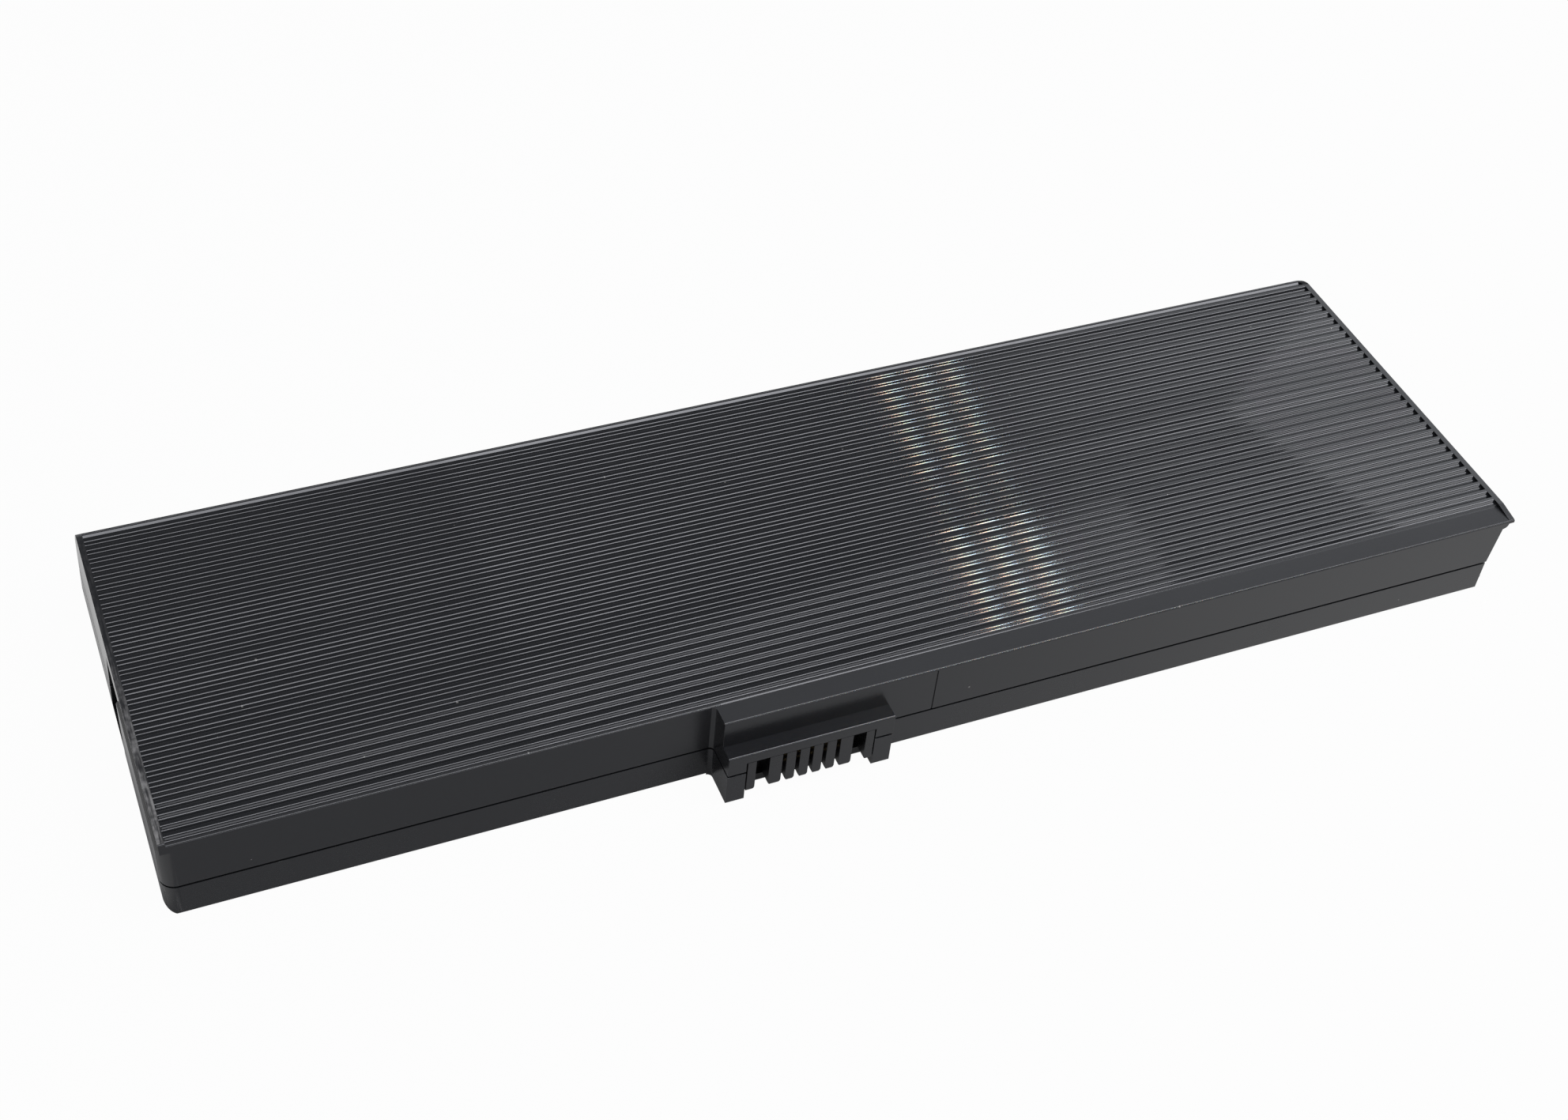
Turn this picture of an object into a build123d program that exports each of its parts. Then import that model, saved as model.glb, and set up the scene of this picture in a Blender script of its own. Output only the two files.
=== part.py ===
"""Laptop battery pack: ribbed cover, tray, slotted contact block, cells, plates, leads and circuit board.

Millimetres. X runs along the pack, Y from the contact side to the back, Z up to the ribbed face.
Sizes are set out from the left end, the left half's front wall and the underside.
Each finished piece is then moved so that the origin is the middle of the underside.
"""
import os
from math import cos, degrees, radians, sin, tan

from build123d import *

os.makedirs("parts", exist_ok=True)

# Cells: columns follow each other along the pack, rows lie side by side
cell_diameter = 17.0
cell_length = 65.0
cell_columns = 4
cell_rows = 3
cell_row_gap = 0.2
cell_side_clearance = 0.25
cell_headroom = 0.1
cap_radius = 3.2
cap_height = 0.8

# Nickel plates between the columns, and what holds the columns along the pack
plate_thickness = 0.3
plate_height = 8.0
tab_height = 3.5
tab_rise = 1.0
power_tab_reach = 10.0
sense_tab_reach = 6.0
end_pad_thickness = 4.8
end_pad_height = 14.0
end_pad_margin = 1.5
end_clearance = 0.3
liner_thickness = 0.15

# Case walls
wall = 1.8
floor_thickness = 1.1
cover_skin = 1.65
bay_depth = 26.1
fence_thickness = 1.2
fence_drop = 0.8
back_radius = 6.25
edge_radius = 0.4
underside_radius = 0.6
corner_radius = 3.0
back_corner_radius = 1.2
right_corner_radius = 0.3
seam_height = 7.7
seam_gap = 0.45
tongue_thickness = 0.8
tongue_height = 1.5
tongue_clearance = 0.1

# Top of the cover
rib_pitch = 2.5
groove_depth = 0.65
groove_draft = radians(40)
rib_edge_radius = 0.6
first_groove = 3.3
last_groove_margin = 1.9
rim_width = 1.25
rim_height = 2.6
lip_thickness = 1.5
lip_skin = 0.5
lip_overhang = 3.2
lip_corner_radius = 5.5
end_draft = 0.8
flare_radius = 1.2

# Front of the case
front_step = 4.55
band_drop = 0.8
band_step = 0.35
band_step_run = 0.3
step_fillet = 1.0
witness_offset = 26.5
witness_width = 0.3
witness_depth = 0.2

# Left end: wall that leans out below the rim, fuller at the front, with a notch for the latch
end_reach = 0.7
end_edge_radius = 2.5
brow = 0.5
notch_front = 37.0
notch_length = 13.0
notch_bottom = 2.5
notch_top = 15.5
notch_skin = 0.4

# Right end: guide bead
bead_radius = 0.6
bead_height = 2.9
bead_end_margin = 0.6

# Contact block and the ledge and legs around it
connector_offset = 118.4
contact_count = 5
contact_pitch = 2.75
slot_width = 0.8
slot_depth = 4.75
end_tooth = 2.65
guide_gap = 2.65
inner_leg = 1.75
leg_gap = 0.25
leg_width = 3.7
comb_reach = 3.25
comb_bottom = 2.2
comb_top = 10.3
ledge_height = 12.7
header_clearance = 0.05
tip_flare = 0.45
tip_height = 0.8
flange_clearance = 0.1
flange_thickness = 2.0
flange_side_clearance = 0.3

# Contact forks
contact_thickness = 0.4
contact_recess = 1.6
prong_gap = 1.0
prong_height = 0.6
fork_base = 1.2
neck_height = 1.2
neck_clearance = 0.05
neck_rise = 0.7
foot_setback = 0.9
foot_length = 1.2

# Circuit board, its posts and parts
board_thickness = 1.2
board_depth = 22.0
board_standoff = 3.6
board_front_clearance = 0.8
board_end_clearance = 4.0
rail_width = 2.4
rail_inset = 3.2
pin_radius = 0.9
pin_clearance = 0.1
pin_proud = 0.8
chip_row_setback = 9.5
part_row_setback = 15.0
chip_leg_length = 0.9
chip_leg_width = 0.35
chip_leg_height = 0.45

# Nickel strips from the plates to the board, and the temperature sensor
strip_edge = 0.4
strip_foot = 2.4
power_strip_width = 3.0
sense_strip_width = 2.0
strip_end_inset = 9.0
strip_run = 23.0
sensor_radius = 1.2
sensor_length = 4.0
sensor_gap = 0.05
sensor_lead_width = 1.2

# Sizes that follow
column_pitch = cell_length + plate_thickness
inside_length = cell_columns * column_pitch + plate_thickness + 2 * (end_pad_thickness + end_clearance)
case_length = inside_length + 2 * wall
cover_length = case_length + lip_overhang
cell_room = cell_rows * cell_diameter + (cell_rows - 1) * cell_row_gap + 2 * cell_side_clearance
fence_front = wall + bay_depth
fence_back = fence_front + fence_thickness
case_depth = fence_back + cell_room + wall
liner_top = floor_thickness + liner_thickness
cell_axis = liner_top + cell_diameter / 2
ceiling = liner_top + cell_diameter + cell_headroom
pack_height = ceiling + cover_skin
seam_bottom = seam_height - seam_gap / 2
seam_top = seam_height + seam_gap / 2
tongue_top = seam_bottom + tongue_height
right_front = -front_step
comb_front = right_front - comb_reach
front_wall_inside = right_front + wall
housing_half = (contact_count - 1) / 2 * contact_pitch + slot_width / 2 + end_tooth + guide_gap + inner_leg
opening_half = housing_half + leg_gap
bump_half = opening_half + leg_width
bump_left = connector_offset - bump_half
bump_right = connector_offset + bump_half
guide_offset = housing_half - inner_leg - guide_gap / 2
flange_front = front_wall_inside + flange_clearance
flange_back = flange_front + flange_thickness
flange_half = bump_half - wall - flange_side_clearance
board_bottom = floor_thickness + board_standoff
board_top = board_bottom + board_thickness
board_front = wall + board_front_clearance
board_back = board_front + board_depth
board_middle_y = (board_front + board_back) / 2
neck_bottom = board_top + neck_rise
neck_top = neck_bottom + neck_height
fork_middle = (neck_bottom + neck_top) / 2
first_plate = wall + end_clearance + end_pad_thickness
plate_places = [first_plate + i * column_pitch for i in range(cell_columns + 1)]
row_places = [
    fence_back + cell_side_clearance + cell_diameter / 2 + i * (cell_diameter + cell_row_gap)
    for i in range(cell_rows)
]
board_left = plate_places[1] + board_end_clearance
board_right = plate_places[-2] - board_end_clearance
board_length = board_right - board_left
slot_places = [connector_offset + (i - (contact_count - 1) / 2) * contact_pitch for i in range(contact_count)]
groove_count = int((case_depth - first_groove - last_groove_margin) / rib_pitch) + 1
groove_runs = [first_groove + i * rib_pitch for i in range(groove_count)]
groove_half_floor = rib_edge_radius / tan((radians(90) + groove_draft) / 2)
groove_half_mouth = groove_half_floor + groove_depth * tan(groove_draft)
first_rib_front = first_groove - rib_pitch + groove_half_mouth
first_rib_foot = first_rib_front - groove_depth * tan(groove_draft)
groove_bottom = pack_height - groove_depth
band_top = pack_height - band_drop
notch_depth = wall - tongue_thickness - tongue_clearance - notch_skin
rim_bottom = pack_height - rim_height
lip_bottom = pack_height - lip_thickness
over = 1.0  # how far a cutting tool reaches past the face that it cuts


def block(x0, x1, y0, y1, z0, z1):
    """A box between two corners."""
    return Pos((x0 + x1) / 2, (y0 + y1) / 2, (z0 + z1) / 2) * Box(x1 - x0, y1 - y0, z1 - z0)


def outline(*corners):
    """A flat face from its corners, in the sketch's own plane."""
    return make_face(Polyline(*corners, close=True))


def rounded(sketch, corner, radius):
    """The sketch with the corner nearest to a point rounded."""
    return fillet(sketch.vertices().sort_by_distance(corner)[0], radius)


def along_x(sketch, x0, x1):
    """A section drawn in (y, z), run from x0 to x1."""
    return extrude(Plane.YZ.offset(x0) * sketch, amount=x1 - x0, dir=(1, 0, 0))


def along_y(sketch, y0, y1):
    """A section drawn in (x, z), run from y0 to y1."""
    return Pos(0, y0, 0) * extrude(Plane.XZ * sketch, amount=y1 - y0, dir=(0, 1, 0))


def upright(sketch, z0, z1):
    """A plan drawn in (x, y), run from z0 to z1."""
    return Pos(0, 0, z0) * extrude(sketch, amount=z1 - z0, dir=(0, 0, 1))


def corner_waste(x, y, toward_x, toward_y, radius, z0, z1):
    """What is cut off a square upright corner at (x, y) to round it; toward_* point into the solid."""
    centre_x = x + toward_x * radius
    centre_y = y + toward_y * radius
    far_x = x - toward_x * over
    far_y = y - toward_y * over
    square = block(
        min(centre_x, far_x), max(centre_x, far_x), min(centre_y, far_y), max(centre_y, far_y), z0, z1
    )
    return square - Pos(centre_x, centre_y, (z0 + z1) / 2) * Cylinder(radius, z1 - z0 + over)


def case_section(front_corners):
    """Outer section of the closed case: flat top, rounded back edge, and the given corners at the front."""
    section = outline((case_depth, 0), (case_depth, pack_height), *front_corners)
    section = rounded(section, (case_depth, pack_height), back_radius)
    section = rounded(section, front_corners[-2], edge_radius)
    section = rounded(section, front_corners[-1], underside_radius)
    return rounded(section, (case_depth, 0), underside_radius)


def banded_section(*front_corners):
    """Outer section between the end rims: the first rib's front side and the given corners in front of it."""
    rib_corner = (first_rib_front, pack_height)
    rib_foot = (first_rib_foot, groove_bottom)
    section = rounded(case_section([rib_corner, rib_foot, *front_corners]), rib_corner, rib_edge_radius)
    return rounded(section, rib_foot, rib_edge_radius)


left_rim_section = case_section([(0, pack_height), (0, 0)])
right_rim_section = case_section([(0, pack_height), (right_front, band_top), (right_front, 0)])
left_section = banded_section((0, groove_bottom), (0, 0))
right_section = banded_section(
    (band_step, groove_bottom),
    (band_step - band_step_run, band_top),
    (right_front, band_top),
    (right_front, 0),
)


def end_profile(*below_rim):
    """The left half seen from the front: its end wall goes through the given corners to a rounded edge."""
    right = bump_left + 2 * over
    above = pack_height + over
    profile = outline((right, 0), (right, above), (0, above), (0, rim_bottom), *below_rim, (-end_reach, 0))
    return rounded(profile, (-end_reach, 0), end_edge_radius)


def make_case():
    """The whole outside as one solid, before it is split at the seam and hollowed."""
    front_end = along_y(end_profile((-brow, rim_bottom - brow)), -over, notch_front)
    back_end = along_y(end_profile(), notch_front, case_depth + over)
    left_half = along_x(left_rim_section, -end_reach, rim_width)
    left_half += along_x(left_section, rim_width, bump_left + over)
    case = left_half & (front_end + back_end)
    case += along_x(right_section, bump_left, case_length)
    step_corner = block(bump_left - step_fillet, bump_left, -step_fillet, 0, 0, pack_height)
    step_corner -= Pos(bump_left - step_fillet, -step_fillet, 0) * Cylinder(step_fillet, 3 * pack_height)
    case += step_corner & along_x(right_section, 0, case_length)
    # The wall corners are rounded below the rim and the lip, which keep their own corners
    case -= corner_waste(-end_reach, 0, 1, 1, corner_radius, -over, rim_bottom)
    case -= corner_waste(-end_reach, case_depth, 1, -1, back_corner_radius, -over, rim_bottom)
    case -= corner_waste(case_length, case_depth, -1, -1, corner_radius, -over, lip_bottom)
    case -= corner_waste(case_length, right_front, -1, 1, right_corner_radius, -over, lip_bottom)
    return case - block(
        -end_reach - over, notch_depth, notch_front, notch_front + notch_length, notch_bottom, notch_top
    )


def make_lip():
    """The cover's overhanging lip on the right end, with the leaning end wall that flares out under it."""
    wall_top = (case_length + end_draft, lip_bottom - flare_radius)
    flare_end = (case_length + end_draft + flare_radius, lip_bottom)
    inside = case_length - over
    wall_line = Line((case_length, seam_top), wall_top)
    flare = RadiusArc(wall_top, flare_end, -flare_radius)
    back = Polyline(flare_end, (inside, lip_bottom), (inside, seam_top), (case_length, seam_top))
    end_wall = along_y(make_face([wall_line, flare, *back.edges()]), right_front, case_depth)
    end_wall -= corner_waste(
        case_length + end_draft, case_depth, -1, -1, corner_radius, seam_top - over, pack_height
    )
    lip = along_x(right_section, inside, cover_length - rim_width)
    lip += along_x(right_rim_section, cover_length - rim_width, cover_length)
    lip &= block(inside, cover_length, comb_front, case_depth, lip_bottom, pack_height)
    lip -= corner_waste(cover_length, case_depth, -1, -1, lip_corner_radius, 0, 2 * pack_height)
    return (end_wall & along_x(right_section, inside, cover_length)) + lip


def make_cavity_plan():
    """Plan of the room inside the walls."""
    corners = [
        (wall, wall),
        (bump_left + wall, wall),
        (bump_left + wall, front_wall_inside),
        (case_length - wall, front_wall_inside),
        (case_length - wall, case_depth - wall),
        (wall, case_depth - wall),
    ]
    plan = outline(*corners)
    for corner in (corners[0], corners[3], corners[4], corners[5]):
        plan = rounded(plan, corner, corner_radius - wall)
    return plan


def make_cavity(plan):
    """The room inside the case, from the floor to the ceiling, with the ceiling rounded at the back."""
    section = outline(
        (front_wall_inside, floor_thickness),
        (case_depth - wall, floor_thickness),
        (case_depth - wall, ceiling),
        (front_wall_inside, ceiling),
    )
    section = rounded(section, (case_depth - wall, ceiling), back_radius - wall)
    return upright(plan, floor_thickness, pack_height) & along_x(section, 0, case_length)


def groove_section():
    """One groove between two ribs: leaning sides over a round bottom, with lips that round the ribs' tops."""
    shift = groove_half_floor * sin(groove_draft)
    drop = groove_half_floor * cos(groove_draft)
    lip = groove_half_mouth + groove_half_floor
    side = groove_half_mouth - shift
    foot = groove_half_floor + shift
    foot_top = drop - groove_depth
    sides = [
        Line((-lip, over), (-lip, 0)),
        RadiusArc((-lip, 0), (-side, -drop), rib_edge_radius),
        Line((-side, -drop), (-foot, foot_top)),
        RadiusArc((-foot, foot_top), (foot, foot_top), -rib_edge_radius),
        Line((foot, foot_top), (side, -drop)),
        RadiusArc((side, -drop), (lip, 0), rib_edge_radius),
        Polyline((lip, 0), (lip, over), (-lip, over)),
    ]
    return make_face(Curve() + sides)


def make_grooves():
    """The grooves between the ribs, spaced along the top and its back edge, that stop at the end rims."""
    flat = case_depth - back_radius
    groove = groove_section()
    section = Sketch()
    for run in groove_runs:
        turn = max(0.0, run - flat) / back_radius
        centre = Pos(min(run, flat), pack_height - back_radius)
        section += centre * Rot(0, 0, -degrees(turn)) * Pos(0, back_radius) * groove
    grooves = along_x(section, rim_width, cover_length - rim_width)
    # Over the lip the grooves leave a skin, also where the back edge rounds down
    grooves -= block(case_length, cover_length, 0, case_depth + over, 0, lip_bottom + lip_skin)
    corner_x = cover_length - lip_corner_radius
    corner_y = case_depth - lip_corner_radius
    rim_corner = block(corner_x, cover_length, corner_y, case_depth + over, 0, 2 * pack_height)
    inner_radius = lip_corner_radius - rim_width
    rim_corner -= Pos(corner_x, corner_y, pack_height) * Cylinder(inner_radius, 3 * pack_height)
    return grooves - rim_corner


def leg_section(bottom, top, rounded_top):
    """Side view of the ledge or a guide leg, from the comb's front plane into the front wall."""
    root = right_front + wall / 2
    section = outline((root, bottom), (comb_front, bottom), (comb_front, top), (root, top))
    if rounded_top:
        return rounded(section, (comb_front, top), edge_radius)
    return rounded(section, (comb_front, bottom), edge_radius)


def make_opening(bottom, top):
    """The opening in the front wall that the contact block passes through."""
    return block(
        connector_offset - opening_half, connector_offset + opening_half, comb_front - over,
        front_wall_inside + over, bottom, top,
    )


def layer(bottom, top):
    """Everything between two heights."""
    return block(-case_length, 2 * case_length, -case_depth, 2 * case_depth, bottom, top)


def make_upper_cover(case, cavity, rebate_plan):
    """Ribbed cover with its walls down to the seam, the ledge over the contacts and the upper leg halves."""
    cover = case & layer(seam_top, 2 * pack_height)
    cover += make_lip()
    cover -= make_grooves()
    cover -= cavity
    cover -= upright(rebate_plan, 0, tongue_top + tongue_clearance)
    cover += along_x(leg_section(seam_top, ledge_height, True), bump_left, bump_right)
    cover -= make_opening(seam_top - over, comb_top + header_clearance)
    witness = connector_offset + witness_offset
    return cover - block(
        witness - witness_width / 2, witness + witness_width / 2, right_front - over,
        right_front + witness_depth, seam_top - over, band_top - edge_radius,
    )


def rail_places():
    """Middles of the rails under the board's two ends."""
    return [board_left + rail_inset, board_right - rail_inset]


def make_lower_tray(case, cavity, cavity_plan, tongue_plan):
    """Tray with the lower leg halves, the tongue behind the seam, the cell fence and the board's rails."""
    tray = case & layer(-over, seam_bottom)
    tray -= cavity
    tray += upright(tongue_plan, seam_bottom - over, tongue_top) - upright(cavity_plan, 0, pack_height)
    for x in (bump_left, bump_right - leg_width):
        tray += along_x(leg_section(0, seam_bottom, False), x, x + leg_width)
    tray -= make_opening(comb_bottom, pack_height)
    tray += block(wall, case_length - wall, fence_front, fence_back, floor_thickness, cell_axis - fence_drop)
    for x in rail_places():
        tray += block(
            x - rail_width / 2, x + rail_width / 2, board_front, board_back, floor_thickness, board_bottom
        )
        tray += Pos(x, board_middle_y, floor_thickness) * Cylinder(
            pin_radius, board_top + pin_proud - floor_thickness, align=(Align.CENTER, Align.CENTER, Align.MIN)
        )
    bead_length = case_depth - right_front - 2 * bead_end_margin
    bead = Rot(90, 0, 0) * Cylinder(bead_radius, bead_length)
    return tray + Pos(case_length, (case_depth + right_front) / 2, bead_height) * bead


def comb_cut(x, width):
    """A slot through the comb's full height, open to the front and flared at the teeth's tips."""
    half = width / 2
    section = outline(
        (x - half - tip_flare, comb_bottom),
        (x - half, comb_bottom + tip_height),
        (x - half, comb_top + over),
        (x + half, comb_top + over),
        (x + half, comb_bottom + tip_height),
        (x + half + tip_flare, comb_bottom),
    )
    return along_y(section, comb_front - over, comb_front + slot_depth)


def make_contact_block():
    """Slotted comb that fills the opening, with the flange that keeps it behind the front wall."""
    side = outline(
        (flange_front, comb_bottom),
        (comb_front, comb_bottom),
        (comb_front, comb_top),
        (flange_front, comb_top),
    )
    side = rounded(side, (comb_front, comb_bottom), edge_radius)
    comb = along_x(side, connector_offset - housing_half, connector_offset + housing_half)
    comb += block(
        connector_offset - flange_half, connector_offset + flange_half, flange_front, flange_back,
        comb_bottom, comb_top,
    )
    for x in slot_places:
        comb -= comb_cut(x, slot_width)
        half_hole = contact_thickness / 2 + neck_clearance
        comb -= block(
            x - half_hole, x + half_hole, comb_front, flange_back + over,
            neck_bottom - neck_clearance, neck_top + neck_clearance,
        )
    for side_x in (connector_offset - guide_offset, connector_offset + guide_offset):
        comb -= comb_cut(side_x, guide_gap)
    return comb


def make_contact(x):
    """A two-pronged fork at the back of its slot, with a neck to the board and a foot on it."""
    tip = comb_front + contact_recess
    slot_back = comb_front + slot_depth
    foot = board_front + foot_setback
    prong_top = fork_middle + prong_gap / 2 + prong_height
    prong_bottom = fork_middle - prong_gap / 2 - prong_height
    prongs = outline((tip, prong_bottom), (slot_back, prong_bottom), (slot_back, prong_top), (tip, prong_top))
    prongs -= outline(
        (tip - over, fork_middle - prong_gap / 2),
        (slot_back - fork_base, fork_middle - prong_gap / 2),
        (slot_back - fork_base, fork_middle + prong_gap / 2),
        (tip - over, fork_middle + prong_gap / 2),
    )
    neck = outline(
        (slot_back - fork_base, neck_bottom),
        (foot, neck_bottom),
        (foot, board_top),
        (foot + foot_length, board_top),
        (foot + foot_length, neck_top),
        (slot_back - fork_base, neck_top),
    )
    return along_x(prongs + neck, x - contact_thickness / 2, x + contact_thickness / 2)


def make_cell(x, y):
    """A sealed can lying along X, with the positive end's shoulder and cap on the right."""
    shoulder = cell_length - cap_height
    can = Cylinder(cell_diameter / 2, shoulder, align=(Align.CENTER, Align.CENTER, Align.MIN))
    can += Cylinder(cap_radius, cell_length, align=(Align.CENTER, Align.CENTER, Align.MIN))
    return Pos(x, y, cell_axis) * Rot(0, 90, 0) * can


def make_plate(x, tab_reach):
    """A nickel plate across one end of all the rows, with a tab that reaches over the fence."""
    half = plate_height / 2
    strip = outline(
        (row_places[0] - half, cell_axis - half),
        (row_places[-1] + half, cell_axis - half),
        (row_places[-1] + half, cell_axis + half),
        (row_places[0] - half, cell_axis + half),
    )
    tab = outline(
        (fence_front - tab_reach, cell_axis + tab_rise),
        (row_places[0], cell_axis + tab_rise),
        (row_places[0], cell_axis + tab_rise + tab_height),
        (fence_front - tab_reach, cell_axis + tab_rise + tab_height),
    )
    return along_x(strip + tab, x, x + plate_thickness)


def make_end_pad(x):
    """Foam pad between an end wall and the nearest plate."""
    return block(
        x, x + end_pad_thickness, fence_back + end_pad_margin, case_depth - wall - end_pad_margin,
        liner_top, liner_top + end_pad_height,
    )


def make_liner():
    """Insulating sheet on the tray's floor under the cells."""
    return block(
        wall + end_clearance, case_length - wall - end_clearance, fence_back + cell_side_clearance,
        case_depth - wall - cell_side_clearance, floor_thickness, liner_top,
    )


def make_board():
    """Circuit board with a hole over each rail's pin."""
    board = block(board_left, board_right, board_front, board_back, board_bottom, board_top)
    hole = Cylinder(pin_radius + pin_clearance, 4 * board_thickness)
    for x in rail_places():
        board -= Pos(x, board_middle_y, board_bottom) * hole
    return board


def make_chip(x, y, length, width, height, legs):
    """A chip on the board with a row of legs along each long side."""
    chip = block(x - length / 2, x + length / 2, y - width / 2, y + width / 2, board_top, board_top + height)
    leg_pitch = length / legs
    reach = width / 2 + chip_leg_length
    for i in range(legs):
        leg_x = x + (i - (legs - 1) / 2) * leg_pitch
        chip += block(
            leg_x - chip_leg_width / 2, leg_x + chip_leg_width / 2, y - reach, y + reach,
            board_top, board_top + chip_leg_height,
        )
    return chip


def make_brick(x, y, length, width, height):
    """A plain two-ended part on the board."""
    return block(x - length / 2, x + length / 2, y - width / 2, y + width / 2, board_top, board_top + height)


def bent_strip(*points):
    """Section of a sheet strip that follows a bent line."""
    return trace(Polyline(*points), line_width=plate_thickness)


def make_strip(plate_x, tab_reach, pad_x, width):
    """A nickel strip that lies on a tab's face, runs along the bay and bends down to a foot on the board."""
    toward = 1 if pad_x > plate_x else -1
    half = plate_thickness / 2
    face_x = plate_x + half + toward * plate_thickness
    tab_bottom = cell_axis + tab_rise
    foot_z = board_top + half
    section = bent_strip(
        (face_x, tab_bottom + tab_height),
        (face_x, tab_bottom),
        (pad_x, tab_bottom),
        (pad_x, foot_z),
        (pad_x + toward * strip_foot, foot_z),
    )
    front = fence_front - tab_reach + strip_edge
    return along_y(section, front, front + width)


def make_sensor():
    """Temperature sensor lying against a front cell, with a flat lead over the fence to the board."""
    reach = (cell_diameter / 2 + sensor_radius + sensor_gap) / 2 ** 0.5
    x = (plate_places[1] + plate_places[2]) / 2
    y = row_places[0] - reach
    z = cell_axis + reach
    bead = Pos(x, y, z) * Rot(0, 90, 0) * Cylinder(sensor_radius, sensor_length)
    pad_y = board_back - strip_edge
    foot_z = board_top + plate_thickness / 2
    lead = bent_strip((y, z), (pad_y, z), (pad_y, foot_z), (pad_y - strip_foot, foot_z))
    return bead + along_x(lead, x - sensor_lead_width / 2, x + sensor_lead_width / 2)


# Assemble the pieces
case = make_case()
cavity_plan = make_cavity_plan()
cavity = make_cavity(cavity_plan)
tongue_plan = offset(cavity_plan, tongue_thickness)
rebate_plan = offset(cavity_plan, tongue_thickness + tongue_clearance)
pieces = {
    "upper_cover": make_upper_cover(case, cavity, rebate_plan),
    "lower_tray": make_lower_tray(case, cavity, cavity_plan, tongue_plan),
    "contact_block": make_contact_block(),
    "end_pad_left": make_end_pad(wall + end_clearance),
    "end_pad_right": make_end_pad(plate_places[-1] + plate_thickness),
    "floor_liner": make_liner(),
    "circuit_board": make_board(),
    "temperature_sensor": make_sensor(),
}
for number, x in enumerate(slot_places, 1):
    pieces[f"contact_{number}"] = make_contact(x)
for column, plate_x in enumerate(plate_places[:-1]):
    for row, y in enumerate(row_places):
        pieces[f"cell_{column * cell_rows + row + 1}"] = make_cell(plate_x + plate_thickness, y)

plate_names = ["negative_plate", *[f"series_plate_{i}" for i in range(1, cell_columns)], "positive_plate"]
strip_names = ["negative_strip", *[f"sense_strip_{i}" for i in range(1, cell_columns)], "positive_strip"]
last = cell_columns
for i, plate_x in enumerate(plate_places):
    is_end = i in (0, last)
    tab_reach = power_tab_reach if is_end else sense_tab_reach
    width = power_strip_width if is_end else sense_strip_width
    if i == 0:
        pad_x = board_left + strip_end_inset
    elif i == last:
        pad_x = board_right - strip_end_inset
    else:
        pad_x = plate_x + (strip_run if i < last - 1 else -strip_run)
    pieces[plate_names[i]] = make_plate(plate_x, tab_reach)
    pieces[strip_names[i]] = make_strip(plate_x, tab_reach, pad_x, width)

board_middle = (board_left + board_right) / 2
chip_row = board_front + chip_row_setback
part_row = board_front + part_row_setback
part_step = board_length / 8
pieces["gauge_chip"] = make_chip(board_middle, chip_row, 8.0, 4.4, 1.0, 10)
pieces["protection_chip"] = make_chip(board_middle + part_step, chip_row, 5.0, 4.0, 1.4, 4)
pieces["charge_transistor"] = make_chip(board_middle + 2 * part_step, chip_row, 5.0, 4.0, 1.4, 4)
pieces["discharge_transistor"] = make_chip(board_middle + 3 * part_step, chip_row, 5.0, 4.0, 1.4, 4)
pieces["sense_resistor"] = make_brick(board_middle - part_step, chip_row, 6.4, 3.2, 0.7)
pieces["fuse"] = make_brick(board_middle - 2 * part_step, chip_row, 5.0, 3.2, 1.2)
pieces["capacitors"] = Part() + [
    make_brick(board_middle + (i - 2.5) * part_step / 2, part_row, 2.0, 1.25, 1.0) for i in range(6)
]

# Write each piece with the origin in the middle of the underside
left_end = pieces["lower_tray"].bounding_box().min.X
to_middle = Pos(-(left_end + cover_length) / 2, -(comb_front + case_depth) / 2, 0)
for name, piece in pieces.items():
    export_step(to_middle * piece, f"parts/{name}.step")
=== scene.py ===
"""Studio scene of a laptop battery: two moulded shells, the slotted contact block and what they hold.

Metres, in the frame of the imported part: X along the pack, Y to the back, Z up, origin under its middle.
"""
from math import hypot, pi, radians

import bmesh
import bpy
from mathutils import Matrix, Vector


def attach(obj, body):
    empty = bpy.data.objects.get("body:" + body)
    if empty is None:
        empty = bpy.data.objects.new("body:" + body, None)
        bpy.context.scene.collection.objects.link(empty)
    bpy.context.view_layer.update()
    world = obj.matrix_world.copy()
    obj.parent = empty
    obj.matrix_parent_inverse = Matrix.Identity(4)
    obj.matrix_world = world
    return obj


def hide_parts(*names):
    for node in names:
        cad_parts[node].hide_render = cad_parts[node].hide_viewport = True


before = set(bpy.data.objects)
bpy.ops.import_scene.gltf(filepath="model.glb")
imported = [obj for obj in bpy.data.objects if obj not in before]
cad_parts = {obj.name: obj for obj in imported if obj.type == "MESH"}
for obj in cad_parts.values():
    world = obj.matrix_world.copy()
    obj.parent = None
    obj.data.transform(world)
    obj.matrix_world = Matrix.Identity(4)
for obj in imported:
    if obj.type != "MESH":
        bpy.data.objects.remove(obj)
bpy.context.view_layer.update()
MM = 0.001

# Where the finishes change on the cover
TOP = 20.0 * MM
GROOVE_DEPTH = 0.65 * MM
FIRST_RIB_FOOT = -36.7 * MM
BACK_ROUND = 6.25 * MM
BACK_ROUND_Y = 39.05 * MM
LEFT_RIM = -137.66 * MM
RIGHT_RIM = 138.33 * MM
RIB_CUTS = (LEFT_RIM + 0.3 * MM, RIGHT_RIM - 0.3 * MM)
RIB_REACH = 1.1 * GROOVE_DEPTH
BAND_REACH = 1.5 * MM

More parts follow.
